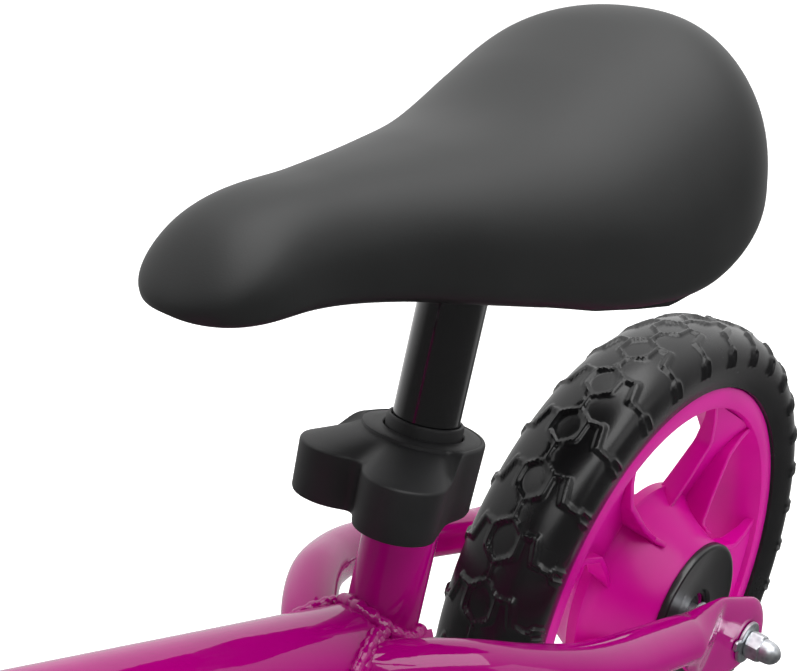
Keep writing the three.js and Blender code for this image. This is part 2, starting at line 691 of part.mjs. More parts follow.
// Steerer with the short crown sleeve the blades are welded to, and the lower race seat.
add(
  "fork_steerer",
  turned(
    [
      [STEERER_R - 1.8, HEAD_FROM - 29],
      [16, HEAD_FROM - 29],
      [16, HEAD_FROM - 9],
      [14.5, HEAD_FROM - 7.5],
      [14.5, HEAD_FROM - 6],
      [STEERER_R, HEAD_FROM - 6],
      [STEERER_R, HEAD_TO + 12],
      [STEERER_R - 1.8, HEAD_TO + 12],
    ],
    steerBase,
    steerDir,
    24,
  ),
  PINK,
);
add(
  "headset_lower",
  turned(
    [
      [STEERER_R + GAP, HEAD_FROM - 6 + GAP],
      [18.5, HEAD_FROM - 6 + GAP],
      [18.8, HEAD_FROM - 1],
      [17.5, HEAD_FROM - GAP],
      [HEAD_R - 2 - GAP, HEAD_FROM - GAP],
      [HEAD_R - 2 - GAP, HEAD_FROM + 8],
      [STEERER_R + GAP, HEAD_FROM + 8],
    ],
    steerBase,
    steerDir,
    24,
  ),
  BLACK,
);
add(
  "headset_upper",
  turned(
    [
      [STEERER_R + GAP, HEAD_TO - 8],
      [HEAD_R - 2 - GAP, HEAD_TO - 8],
      [HEAD_R - 2 - GAP, HEAD_TO + GAP],
      [17.5, HEAD_TO + GAP],
      [18.8, HEAD_TO + 1.5],
      [18.5, HEAD_TO + 6],
      [STEERER_R + GAP, HEAD_TO + 6],
    ],
    steerBase,
    steerDir,
    24,
  ),
  BLACK,
);
// Lock nut over the upper race, and the collar that pinches the stem.
add("headset_nut", plateHex(HEAD_TO + 6 + GAP, HEAD_TO + 12 - GAP, 32, STEERER_R + GAP), ZINC);
function plateHex(from, to, flats, bore) {
  const r = flats / 2 / Math.cos(Math.PI / 6);
  const out = Array.from({ length: 6 }, (_, i) => [r * Math.cos((i * Math.PI) / 3), r * Math.sin((i * Math.PI) / 3)]);
  return plate(out, onSteer(from), X, new THREE.Vector3().crossVectors(steerDir, X), to - from, [[0, 0, bore]]);
}

// ---------------------------------------------------------------- handlebar
const STEM_R = 10.6;
const STEM_TOP = HEAD_TO + 150;
const CLAMP_BORE = STEM_R + GAP;
// Clamp collar on top of the steerer.
{
  let s = rod(steerBase, steerDir, HEAD_TO + 12 + GAP, HEAD_TO + 32, 18, CLAMP_BORE, 24);
  const n = new THREE.Vector3().crossVectors(steerDir, X);
  const ear = plate([[-8, 12], [8, 12], [8, 30], [-8, 30]], onSteer(HEAD_TO + 15), X, n, 14);
  s = s.add(ear).subtract(rod(steerBase, steerDir, HEAD_TO + 5, HEAD_TO + 40, CLAMP_BORE, 0, 24));
  const mid = onSteer(HEAD_TO + 22).addScaledVector(n, 23.5);
  s = s.subtract(plate([[-1, 5], [1, 5], [1, 40], [-1, 40]], onSteer(HEAD_TO + 5), X, n, 40));
  s = s.subtract(rod(mid, X, -20, 20, 2.5 + GAP, 0, 12));
  add("stem_clamp", largest(s), BLACK);
  const bolt = turned(
    [[0, -12], [2.5, -12], [2.5, 8 + GAP], [4.2, 8 + GAP], [4.2, 12.5], [2.2, 12.5], [2.2, 10], [0, 10]],
    mid,
    X,
    12,
  );
  add("stem_clamp_bolt", bolt, ZINC);
}
// Stem tube with the bar socket on top, one welded piece with the cross tube.
{
  const socket = onSteer(STEM_TOP);
  let s = rod(steerBase, steerDir, HEAD_FROM + 22, STEM_TOP, STEM_R, 0, 24);
  s = s.add(rod(socket, X, -26, 26, BAR_R + 3.2, 0, 24));
  s = s.subtract(rod(steerBase, steerDir, HEAD_FROM, STEM_TOP - 20, STEM_R - 2, 0, 14));
  s = s.subtract(rod(socket, X, -40, 40, BAR_R + 2 * GAP, 0, 20));
  add("stem", largest(s), BLACK);

  const bar = new THREE.CatmullRomCurve3(
    [
      [-BAR_HALF, 34, 45],
      [-150, 20, 43],
      [-105, 6, 33],
      [-62, 0, 6],
      [-34, 0, 0],
      [0, 0, 0],
      [34, 0, 0],
      [62, 0, 6],
      [105, 6, 33],
      [150, 20, 43],
      [BAR_HALF, 34, 45],
    ].map(([x, back, up]) => socket.clone().add(new THREE.Vector3(x, back, up))),
    false,
    "centripetal",
  );
  const pts = bar.getPoints(20);
  const side = new THREE.Vector3(0, 0, 1);
  const ext = [pts[0].clone().add(pts[0]).sub(pts[1]), ...pts, pts[20].clone().add(pts[20]).sub(pts[19])];
  // straight where it passes the socket
  add("handlebar", swept(pts, () => [BAR_R, BAR_R], 14, side).subtract(swept(ext, () => [BAR_R - 1.6, BAR_R - 1.6], 8, side)), BLACK);

  for (const [tag, end] of [["right", 0], ["left", 20]]) {
    const tip = pts[end];
    const into = pts[end ? 19 : 1].clone().sub(tip).normalize();
    // the grip follows the last, nearly straight stretch of the bar
    const run = [];
    let i = end,
      gone = 0;
    const stepBack = end ? -1 : 1;
    run.push(tip.clone().addScaledVector(into, -6));
    run.push(tip.clone().addScaledVector(into, -3.5));
    run.push(tip.clone());
    while (gone < GRIP_LEN) {
      gone += pts[i].distanceTo(pts[i + stepBack]);
      i += stepBack;
      run.push(pts[i].clone());
    }
    const r = (k) => (k === 0 ? GRIP_R + 1 : k === 1 ? GRIP_R + 3.5 : k === 2 ? GRIP_R + 3.5 : k >= run.length - 2 ? GRIP_R + 4.5 : GRIP_R);
    const outer = swept(run, (k) => [r(k), r(k)], 16, side);
    const bore = swept([tip.clone().addScaledVector(into, -1.2), tip.clone(), ...run.slice(3), run[run.length - 1].clone().add(run[run.length - 1]).sub(run[run.length - 2])], () => [BAR_R + 2.5 * GAP, BAR_R + 2.5 * GAP], 14, side);
    add(`grip_${tag}`, outer.subtract(bore), RUBBER);
  }
}

export default part;
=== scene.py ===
"""Balance bike for a toddler: welded steel frame, moulded wheels on foam tyres, foam saddle with a hand nut.

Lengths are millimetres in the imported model's frame: +Z up, the bike points along -Y, the rider's left is +X.
They turn to metres where a mesh is made."""
import json
import math

import bpy
import bmesh
import numpy as np
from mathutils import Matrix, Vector


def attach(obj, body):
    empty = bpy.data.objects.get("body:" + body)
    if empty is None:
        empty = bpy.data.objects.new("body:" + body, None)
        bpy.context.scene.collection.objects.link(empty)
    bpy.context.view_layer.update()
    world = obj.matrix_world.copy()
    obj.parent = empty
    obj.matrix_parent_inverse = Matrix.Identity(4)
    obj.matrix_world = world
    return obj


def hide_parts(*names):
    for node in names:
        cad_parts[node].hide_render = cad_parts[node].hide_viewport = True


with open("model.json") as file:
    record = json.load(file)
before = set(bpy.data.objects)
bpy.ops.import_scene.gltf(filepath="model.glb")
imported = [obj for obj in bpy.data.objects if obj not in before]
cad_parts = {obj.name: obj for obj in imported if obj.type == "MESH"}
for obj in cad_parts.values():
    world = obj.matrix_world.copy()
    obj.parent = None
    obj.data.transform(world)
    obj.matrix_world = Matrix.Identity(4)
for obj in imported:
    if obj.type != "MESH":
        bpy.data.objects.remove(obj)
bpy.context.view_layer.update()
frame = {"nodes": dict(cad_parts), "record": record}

# ------------------------------------------------------------------ tyres
# Closed-cell foam tyre, moulded in one piece and sprung over the rim. The mould leaves raised lines on it:
# for each pitch a small hexagon on the middle of the tread, a zigzag to the shoulder, and an arched lug there.
MM = 0.001
SIDE = np.array([1.0, 0.0, 0.0])
AXLES = {"rear": np.array([0.0, 280.0, 148.0]), "front": np.array([0.0, -280.0, 148.0])}
TYRE_RADIUS = 148.0
TYRE_PITCHES = 32
TYRE_STEPS = 24  # grid steps around in each pitch
TYRE_PITCH = 2 * np.pi * TYRE_RADIUS / TYRE_PITCHES
TYRE_LINE_RISE, TYRE_LINE_HALF, TYRE_LINE_SLOPE = 1.25, 0.4675, 0.9  # height, half width, flank of a line
TYRE_BAR_RISE, TYRE_BAR_HALF, TYRE_HOLLOW = 1.375, 1.1, 0.5  # broad bar of the zigzag, depth inside a hexagon
TYRE_HALF_SECTION = [(0.0, 148.0), (6.0, 147.75), (12.0, 146.6), (17.5, 144.3), (21.4, 141.0)]
TYRE_HALF_SECTION += [(23.6, 136.5), (24.0, 131.5), (22.6, 124.5), (20.2, 118.0)]  # across, from the axle
TYRE_BED = [(18.0, 117.7), (14.0, 111.9), (0.0, 111.9), (-14.0, 111.9), (-18.0, 117.7)]
TYRE_TURN = {"rear": 0.03, "front": 0.07}  # radians, so that the two patterns don't line up


def smoothstep(x):
    """0 below 0, 1 above 1, and 3x^2 - 2x^3 between."""
    x = np.clip(x, 0.0, 1.0)
    return x * x * (3 - 2 * x)


def spline(points, count):
    """Curve through the points, evenly spaced: Catmull-Rom pieces, then sampled again by arc length."""
    p = np.asarray(points, float)
    ends = np.vstack([2 * p[0] - p[1], p, 2 * p[-1] - p[-2]])
    t = np.linspace(0, 1, 25)[:-1, None]
    runs = []
    for a, b, c, d in zip(ends, ends[1:], ends[2:], ends[3:]):
        cubic = 2 * b + (c - a) * t + (2 * a - 5 * b + 4 * c - d) * t**2 + (3 * b - a - 3 * c + d) * t**3
        runs.append(0.5 * cubic)
    dense = np.vstack(runs + [p[-1:]])
    gone = np.concatenate([[0], np.cumsum(np.linalg.norm(np.diff(dense, axis=0), axis=1))])
    want = np.linspace(0, gone[-1], count)
    return np.stack([np.interp(want, gone, column) for column in dense.T], -1)


def shell(grid, wrap_u=True, wrap_v=True):
    """Quads over a grid of points, each joined to the next along both ways; a wrapped way closes on itself.
    The faces are turned so that the volume inside them is positive."""
    nu, nv = grid.shape[:2]
    rows, columns = np.arange(nu if wrap_u else nu - 1), np.arange(nv if wrap_v else nv - 1)
    i, j = np.meshgrid(rows, columns, indexing="ij")
    i2, j2 = (i + 1) % nu, (j + 1) % nv
    quads = np.stack([i * nv + j, i2 * nv + j, i2 * nv + j2, i * nv + j2], -1).reshape(-1, 4)
    points = grid.reshape(-1, 3)
    a, b, c, d = ((points - points.mean(0))[quads[:, k]] for k in range(4))
    volume = (np.cross(a, b) * c).sum() + (np.cross(a, c) * d).sum()
    return points, quads if volume > 0 else quads[:, ::-1]


def piece(name, shells, body, replaced, material, crease=35.0):
    """One object from closed shells in millimetres, riding on a body and standing for its CAD nodes. Edges
    sharper than crease degrees stay sharp."""
    points = np.vstack([p for p, _ in shells]) * MM
    starts = np.cumsum([0] + [len(p) for p, _ in shells[:-1]])
    quads = np.vstack([q + start for (_, q), start in zip(shells, starts)])
    mesh = bpy.data.meshes.new(name)
    mesh.vertices.add(len(points))
    mesh.vertices.foreach_set("co", points.astype(np.float32).ravel())
    mesh.loops.add(quads.size)
    mesh.loops.foreach_set("vertex_index", quads.astype(np.int32).ravel())
    mesh.polygons.add(len(quads))
    mesh.polygons.foreach_set("loop_start", np.arange(len(quads), dtype=np.int32) * 4)
    mesh.update(calc_edges=True)
    work = bmesh.new()
    work.from_mesh(mesh)
    bmesh.ops.remove_doubles(work, verts=work.verts, dist=2e-6)
    bmesh.ops.dissolve_degenerate(work, dist=1e-6, edges=work.edges)
    work.to_mesh(mesh)
    work.free()
    mesh.polygons.foreach_set("use_smooth", np.ones(len(mesh.polygons), bool))
    mesh.set_sharp_from_angle(angle=math.radians(crease))
    mesh.materials.append(material)
    made = bpy.data.objects.new(name, mesh)
    bpy.context.scene.collection.objects.link(made)
    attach(made, body)
    if replaced:
        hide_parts(*replaced)
    return made


def colour(code):
    """sRGB hex code as linear red, green, blue, alpha."""
    parts = [int(code[i : i + 2], 16) / 255 for i in (1, 3, 5)]
    return [x / 12.92 if x <= 0.04045 else ((x + 0.055) / 1.055) ** 2.4 for x in parts] + [1.0]


def node(tree, kind, settings=None, **sockets):
    """Adds a node; settings go on the node, and each socket gets a value or a link. In a socket's name _ is a
    blank, and i and a number mean the socket at that place."""
    made = tree.nodes.new(kind)
    for key, value in (settings or {}).items():
        setattr(made, key, value)
    for key, value in sockets.items():
        by_place = key[0] == "i" and key[1:].isdigit()
        socket = made.inputs[int(key[1:])] if by_place else made.inputs[key.replace("_", " ")]
        if isinstance(value, bpy.types.NodeSocket):
            tree.links.new(value, socket)
        else:
            socket.default_value = value
    return made


def finish(name, **constants):
    """A new material whose shader has the constants given, with its tree, shader and Object coordinates."""
    made = bpy.data.materials.new(name)
    made.use_nodes = True
    tree = made.node_tree
    tree.nodes.clear()
    shader = node(tree, "ShaderNodeBsdfPrincipled", **constants)
    node(tree, "ShaderNodeOutputMaterial", Surface=shader.outputs["BSDF"])
    return made, tree, shader, node(tree, "ShaderNodeTexCoord").outputs["Object"]


def surface(tree, shader, tone, tones, gloss=None, gloss_span=None, relief=None, lift=None, span=(0.3, 0.7)):
    """Links a finish: the pattern tone carries the colour from one tone to the other across span, the pattern
    gloss carries the roughness across gloss_span, and relief is raised by lift (strength, metres)."""
    share = node(tree, "ShaderNodeMapRange", Value=tone, From_Min=span[0], From_Max=span[1]).outputs["Result"]
    ends = [colour(code) for code in tones]
    mixed = node(tree, "ShaderNodeMix", {"data_type": "RGBA"}, i0=share, i6=ends[0], i7=ends[1])
    tree.links.new(mixed.outputs[2], shader.inputs["Base Color"])
    if gloss:
        rough = node(tree, "ShaderNodeMapRange", Value=gloss, To_Min=gloss_span[0], To_Max=gloss_span[1])
        tree.links.new(rough.outputs["Result"], shader.inputs["Roughness"])
    if relief:
        bump = node(tree, "ShaderNodeBump", Height=relief, Strength=lift[0], Distance=lift[1])
        for socket in ("Normal", "Coat Normal"):
            tree.links.new(bump.outputs["Normal"], shader.inputs[socket])


# Moulded EVA foam: a closed black skin, satin where the mould was polished, with faint cloudy patches 22 mm
# across and foam cells of 0.7 mm.
eva_foam, tree, shader, where = finish("eva_foam_black", IOR=1.5)
cloud = node(tree, "ShaderNodeTexNoise", Vector=where, Scale=45.0, Detail=4.0).outputs["Fac"]
cells = node(tree, "ShaderNodeTexNoise", Vector=where, Scale=1400.0, Detail=2.0).outputs["Fac"]
surface(tree, shader, cloud, ("#0E0E0F", "#151516"), cloud, (0.2, 0.31), cells, (0.12, 0.0003))


def line_distance(a, s, lines):
    """Distance from points (a, s) to the nearest of some lines, each repeated one pitch either way."""
    best = np.full(a.shape, 1e3)
    for (a0, s0), (a1, s1) in lines:
        da, ds = a1 - a0, s1 - s0
        for shift in (-TYRE_PITCH, 0.0, TYRE_PITCH):
            u = np.clip(((a - a0 - shift) * da + (s - s0) * ds) / (da * da + ds * ds), 0, 1)
            best = np.minimum(best, np.hypot(a - a0 - shift - u * da, s - s0 - u * ds))
    return best


def tread_lift(s):
    """Height of the skin over one pitch: each moulded line is a plateau with eased flanks, and the inside of
    a hexagon is a little lower. s is the distance from the middle of the tread along the section."""
    a = (np.arange(TYRE_STEPS) / TYRE_STEPS - 0.5) * TYRE_PITCH
    aa, ss = np.meshgrid(a, s, indexing="ij")
    hexagon = [(-10.2, 0), (-5, 7.4), (5, 7.4), (10.2, 0)]
    arch = [(2.3, 33.5), (2.3, 26.5), (4.0, 25.0), (6.0, 25.0), (7.7, 26.5), (7.7, 33.5)]
    lines = list(zip(hexagon, hexagon[1:])) + list(zip(arch, arch[1:]))
    lines += [((10.2, 0), (18.9, 0)), ((-5, 7.4), (-6, 13.5)), ((4, 16.8), (5, 25))]
    line_gap = line_distance(aa, ss, lines)
    fine = TYRE_LINE_RISE * (1 - smoothstep((line_gap - TYRE_LINE_HALF) / TYRE_LINE_SLOPE))
    bar_gap = line_distance(aa, ss, [((-6, 13.8), (4, 16.5))])
    broad = TYRE_BAR_RISE * (1 - smoothstep((bar_gap - TYRE_BAR_HALF) / TYRE_BAR_HALF))
    hollow = TYRE_HOLLOW * smoothstep((7.0 - ss - np.abs(aa) * 0.35) / 1.5)
    return np.maximum(fine, broad) - hollow


def tyre_shell(centre, turn):
    """Tyre section carried round the axle, its skin lifted along its normal by the moulded lines."""
    half = TYRE_HALF_SECTION
    outer = spline([(-x, r) for x, r in half[:0:-1]] + half, 120)
    step = np.gradient(outer, axis=0)
    normal = np.stack([-step[:, 1], step[:, 0]], -1) / np.linalg.norm(step, axis=1)[:, None]
    gone = np.concatenate([[0], np.cumsum(np.linalg.norm(np.diff(outer, axis=0), axis=1))])
    s = np.abs(gone - gone[-1] / 2)
    lift = np.tile(tread_lift(s), (TYRE_PITCHES, 1)) * smoothstep((gone[-1] / 2 - s) / 2.5)
    section = outer + normal * lift[..., None]
    bed = np.broadcast_to(TYRE_BED, (len(lift), len(TYRE_BED), 2))
    x, r = np.moveaxis(np.concatenate([section, bed], 1), -1, 0)
    around = np.linspace(0, 2 * np.pi, len(lift), endpoint=False)[:, None] + turn
    return shell(np.stack([x, r * np.cos(around), r * np.sin(around)], -1) + centre)


for end, centre in AXLES.items():
    tread = [tyre_shell(centre, TYRE_TURN[end])]
    piece(f"{end}_tyre_tread", tread, f"{end}_wheel", [f"{end}_tyre"], eva_foam, 60.0)

# ------------------------------------------------------------------ rims
# Wheel moulded in one shot of magenta nylon: a lip each side of the tyre, a hub that swells to a cone under
# the black caps, and five spokes shaped as channels open to the left, whose backs rise to that side outwards.
HUB_HALF = 33.3
SPOKES = 5
SPOKE_TURN = math.radians(54.9)
SPOKE_RADII = [42, 60, 84, 96, 105]
SPOKE_HALF_WIDTHS = [17.5, 15.8, 16.0, 22.5, 31.0]
SPOKE_FOOT = 47.0  # distance from the axle where the heights below hold
SPOKE_BACK, SPOKE_BACK_RISE = -2.5, 0.26  # back of a spoke, and its rise per millimetre outwards
SPOKE_EDGE, SPOKE_LOW_EDGE, SPOKE_LOW_RISE = 16.5, 9.5, 0.18  # free edges of its rear and front wall
SPOKE_FLOOR_HALF, SPOKE_WALL_HALF, SPOKE_WALL_INSET = 1.7, 1.6, 1.4
RIM_HALF_SECTION = [(0, 102.9), (6, 103.2), (12, 104.6), (18.4, 106.4), (18.8, 107.2)]
RIM_HALF_SECTION += [(18.8, 116.6), (18.3, 117.4), (17.6, 117.2), (14.6, 111.4)]  # across, from the axle
HUB_HALF_SECTION = [(2.6, 58), (3.2, 55.5), (8, 50.8), (16, 45.5), (26, 40.5), (32.6, 38.6)]
HUB_HALF_SECTION += [(HUB_HALF, 38.0), (HUB_HALF, 11.4)]

# Gloss nylon, self-coloured: flow marks about 33 mm long and a mould texture of 1.4 mm.
nylon, tree, shader, where = finish("nylon_magenta_gloss", IOR=1.45, Specular_IOR_Level=0.28)
flow = node(tree, "ShaderNodeTexNoise", Vector=where, Scale=30.0, Detail=3.0).outputs["Fac"]
mould = node(tree, "ShaderNodeTexNoise", Vector=where, Scale=700.0, Detail=2.0).outputs["Fac"]
surface(tree, shader, flow, ("#C2008B", "#CC0093"), flow, (0.26, 0.36), mould, (0.05, 0.0003))


def lathe(profile, centre, segments=96, wrap=True):
    """Profile of (distance along X, radius) carried round the X axis through a centre."""
    x, r = np.asarray(profile, float).T
    a = np.linspace(0, 2 * np.pi, segments, endpoint=False)[:, None]
    return shell(np.stack([x + 0 * a, r * np.cos(a), r * np.sin(a)], -1) + centre, True, wrap)


def mirrored(half):
    """Section closed by the mirror image of its half, for a turned piece alike on both sides."""
    return [(-x, r) for x, r in half[::-1]] + [point for point in half if point[0] > 0]


def oval(power, around):
    """Points of |x|^n + |y|^n = 1 at even angles: a power of 2 gives a circle, a high one a rounded box."""
    w = np.linspace(0, 2 * np.pi, around, endpoint=False)
    c, s, e = np.cos(w), np.sin(w), 2 / np.asarray(power, float)
    return np.sign(c) * np.abs(c) ** e, np.sign(s) * np.abs(s) ** e


def with_ends(path, grid):
    """Sections along a path, closed by drawing a last ring together into a point at each end."""
    first, last = (np.broadcast_to(point, (1, *grid.shape[1:])) for point in (path[0], path[-1]))
    return shell(np.concatenate([first, grid, last]), False, True)


def bar(path, across, up, half_widths, half_heights, power=5.0, around=28):
    """Bar carried along a path: each section is a rounded rectangle |x/w|^n + |y/h|^n = 1."""
    cx, cy = oval(power, around)
    path, across, up = (np.asarray(v, float) for v in (path, across, up))
    grid = path[:, None] + across[:, None] * (cx * np.asarray(half_widths)[:, None])[..., None]
    grid = grid + up[:, None] * (cy * np.asarray(half_heights)[:, None])[..., None]
    return with_ends(path, grid)


def spoke_shells(centre, angle):
    """A floor plate and two side walls, each a bar along the spoke, wider where it meets the rim."""
    u, v = np.array([0, np.cos(angle), np.sin(angle)]), np.array([0, -np.sin(angle), np.cos(angle)])
    r = 42 + np.linspace(0, 1, 24) * 62.5
    every = (len(r), 1)
    half = np.interp(r, SPOKE_RADII, SPOKE_HALF_WIDTHS)
    back = SPOKE_BACK + SPOKE_BACK_RISE * np.maximum(r - SPOKE_FOOT, 0)
    path = centre + r[:, None] * u
    floor = path + (back + SPOKE_FLOOR_HALF)[:, None] * SIDE
    thin = np.full(len(r), SPOKE_FLOOR_HALF)
    made = [bar(floor, np.tile(v, every), np.tile(SIDE, every), half, thin, 8.0)]
    low_edge = np.minimum(SPOKE_EDGE, SPOKE_LOW_EDGE + SPOKE_LOW_RISE * (r - SPOKE_FOOT))
    for side, edge in ((-1, SPOKE_EDGE), (1, low_edge)):
        edge = edge + smoothstep((46 - r) / 8) * 12  # runs up the cone of the hub
        wall = path + (side * (half - SPOKE_WALL_INSET))[:, None] * v + ((back + edge) / 2)[:, None] * SIDE
        along = np.gradient(wall, axis=0)
        along -= np.outer(along @ SIDE, SIDE)
        along /= np.linalg.norm(along, axis=1)[:, None]
        thin = np.full(len(r), SPOKE_WALL_HALF)
        made.append(bar(wall, np.cross(SIDE, along), np.tile(SIDE, every), thin, (edge - back) / 2, 9.0))
    return made


for end, centre in AXLES.items():
    moulding = [lathe(mirrored(RIM_HALF_SECTION), centre, 160)]
    moulding.append(lathe(mirrored(HUB_HALF_SECTION), centre, 120))
    for k in range(SPOKES):
        moulding += spoke_shells(centre, SPOKE_TURN + k * 2 * np.pi / SPOKES)
    piece(f"{end}_rim_moulding", moulding, f"{end}_wheel", [f"{end}_rim"], nylon, 38.0)

# ------------------------------------------------------------------ hub caps and axle hardware
# Black moulded caps close the hub round ball bearings of 22 mm. A turned spacer, a tabbed washer and a dome
# nut, all zinc plated, fix the M8 axle in the frame ends.
FORK_END = 64.5  # outer face of a frame end from the middle plane
WASHER_THICK, NUT_SEAT, NUT_FLATS, NUT_THICK, NUT_CORNER = 1.8, 2.4, 13.0, 7.0, 7.5
CAP_GAP, SPACER_GAP, RACE_DEEP, WASHER_GAP = 0.3, -0.2, -7.5, 0.3  # from the hub's or the frame end's face
CAP_SECTION = [(0, 12.2), (0, 39.5), (2.6, 39.5), (3.3, 39.1), (3.6, 38.3), (3.6, 36.9)]
CAP_SECTION += [(3.2, 36.3), (3.2, 15.2), (2.6, 14.4), (1.4, 13.9), (1.4, 12.2)]  # outwards, from the axle
RACE_SECTION = [(0, 4.4), (0, 11), (6.6, 11), (7, 10.6), (7, 9.4), (6.3, 9.1), (6.3, 6.7), (7, 6.4), (7, 4.8)]
RACE_SECTION += [(6.7, 4.4)]
SPACER_SECTION = [(0, 4.3), (0, 6.0), (4.4, 6.0), (4.6, 8.3), (5.0, 8.7), (5.8, 8.7), (6.2, 8.3), (6.6, 7.6)]
SPACER_SECTION += [(25.2, 7.6), (25.6, 7.2), (25.6, 4.3)]
WASHER_SECTION = [(0, 4.3), (0, 10.4), (0.3, 10.8), (1.5, 10.8), (WASHER_THICK, 10.4), (WASHER_THICK, 4.3)]
DOME_SECTION = [(2, 0), (2, 5.9), (7.6, 5.9), (8.3, 5.9), (10.5, 5.8), (12.4, 5.3), (14.0, 4.3), (15.2, 2.9)]
DOME_SECTION += [(15.9, 1.4), (16.1, 0)]
TAB_WAYS = {"rear": (0, -0.925, 0.380), "front": (0, 0.342, 0.940)}

# Moulded ABS, polished mould: handling haze in patches of 12 mm.
cap_abs, tree, shader, where = finish("abs_black_gloss", IOR=1.5, Coat_Weight=0.3, Coat_Roughness=0.05)
haze = node(tree, "ShaderNodeTexNoise", Vector=where, Scale=80.0, Detail=4.0).outputs["Fac"]
surface(tree, shader, haze, ("#161617", "#1D1D1F"), haze, (0.26, 0.38))

# Zinc plate on turned steel: pale metal, mottled by crystals 2.4 mm across, with a grit of 1.1 mm.
zinc, tree, shader, where = finish("zinc_plated_steel", Metallic=1.0)
crystal = node(tree, "ShaderNodeTexVoronoi", Vector=where, Scale=420.0).outputs["Distance"]
grit = node(tree, "ShaderNodeTexNoise", Vector=where, Scale=900.0, Detail=3.0).outputs["Fac"]
surface(tree, shader, crystal, ("#B9BDC2", "#D9DCDF"), grit, (0.34, 0.5), grit, (0.1, 0.0002), (0.1, 0.8))

# Ground bearing steel under a film of grease: darker, with smears of 1.7 mm.
race_steel, tree, shader, where = finish("bearing_steel_ground", Metallic=1.0)
smear = node(tree, "ShaderNodeTexNoise", Vector=where, Scale=600.0, Detail=3.0).outputs["Fac"]
surface(tree, shader, smear, ("#8E9194", "#A9ACAF"), smear, (0.25, 0.4))


def outwards(section, side, start):
    """Section of (distance outwards, radius) set on one side of the bike, start millimetres out."""
    return [(side * (start + x), r) for x, r in section]


def hexagon_nut(centre, side, seat):
    """Hexagon prism with both faces chamfered: each radius is the lesser of the hexagon's and a cone's."""
    a = np.linspace(0, 2 * np.pi, 72, endpoint=False)
    hexagon = NUT_FLATS / 2 / np.cos((a + np.pi / 6) % (np.pi / 3) - np.pi / 6)
    x = np.array([0, 0, 0.4, 1.2, NUT_THICK - 1.2, NUT_THICK - 0.4, NUT_THICK, NUT_THICK])
    slack = np.array([NUT_CORNER, 0.9, 0.35, -99, -99, 0.35, 0.9, NUT_CORNER])
    r = np.minimum(hexagon[:, None], NUT_CORNER - slack)
    grid = [np.broadcast_to(side * (seat + x), r.shape), r * np.cos(a)[:, None], r * np.sin(a)[:, None]]
    return shell(np.stack(grid, -1) + centre, True, False)


def washer_tab(end, centre, side):
    """Bent tab of a washer: a flat bar from its ring along the frame end, narrowing outwards."""
    way = np.array(TAB_WAYS[end])
    start = centre + SIDE * side * (FORK_END + WASHER_GAP + WASHER_THICK / 2)
    path = start + np.outer([8.5, 12, 14.6, 15.4], way)
    across, up = np.tile(np.cross(SIDE, way), (4, 1)), np.tile(SIDE, (4, 1))
    return bar(path, across, up, [3.0, 2.8, 2.5, 1.6], [0.8] * 4, 6.0)


for end, centre in AXLES.items():
    wheel, fixed = f"{end}_wheel", {"rear": "frame", "front": "fork"}[end]
    for side, tag in ((1, "left"), (-1, "right")):
        cap = lathe(outwards(CAP_SECTION, side, HUB_HALF + CAP_GAP), centre, 96)
        piece(f"{end}_cap_{tag}", [cap], wheel, [f"{end}_hub_cap_{tag}"], cap_abs)
        race = lathe(outwards(RACE_SECTION, side, HUB_HALF + RACE_DEEP), centre, 72)
        piece(f"{end}_race_{tag}", [race], wheel, [f"{end}_bearing_{tag}"], race_steel)
        collar = lathe(outwards(SPACER_SECTION, side, HUB_HALF + SPACER_GAP), centre, 48)
        piece(f"{end}_collar_{tag}", [collar], fixed, [f"{end}_spacer_{tag}"], zinc)
        ring = lathe(outwards(WASHER_SECTION, side, FORK_END + WASHER_GAP), centre, 64)
        washer = [ring, washer_tab(end, centre, side)]
        piece(f"{end}_tab_washer_{tag}", washer, fixed, [f"{end}_washer_{tag}"], zinc)
        dome = lathe(outwards(DOME_SECTION, side, FORK_END + NUT_SEAT), centre, 48, False)
        nut = [hexagon_nut(centre, side, FORK_END + NUT_SEAT), dome]
        piece(f"{end}_cap_nut_{tag}", nut, fixed, [f"{end}_dome_nut_{tag}"], zinc, 24.0)

# ------------------------------------------------------------------ frame tubes
# Steel tubes, mitred and welded, then sprayed with a thick magenta enamel that flows over the welds: one
# straight main tube, a seat tube standing through its rear end, and a head tube on its front end.
POST_TILT, STEER_TILT = math.radians(17.9), math.radians(20)
POST_DIR = np.array([0.0, math.sin(POST_TILT), math.cos(POST_TILT)])
POST_BASE = np.array([0.0, 56.5, 148.0])
STEER_DIR = np.array([0.0, math.sin(STEER_TILT), math.cos(STEER_TILT)])
STEER_BASE = AXLES["front"] + 30 * np.array([0.0, STEER_DIR[2], -STEER_DIR[1]])
MAIN_DIR = np.array([0.0, -1.0, 0.4]) / math.hypot(1, 0.4)
MAIN_UP = np.cross(MAIN_DIR, SIDE)
MAIN_POINT = np.array([0.0, 75.2, 233.0])
MAIN_MID = MAIN_POINT + MAIN_DIR * 120
MAIN_TAIL = 141.5  # from the middle point back to the square rear end
MAIN_R, MAIN_WALL, SEAT_R, SEAT_WALL, HEAD_R, HEAD_WALL = 19.0, 1.6, 14.3, 1.3, 17.0, 2.0
SEAT_SPAN, HEAD_SPAN = (43.7, 162.7), (186, 272)
SUNK = 0.4  # a mitred end is sunk this far into the tube it meets

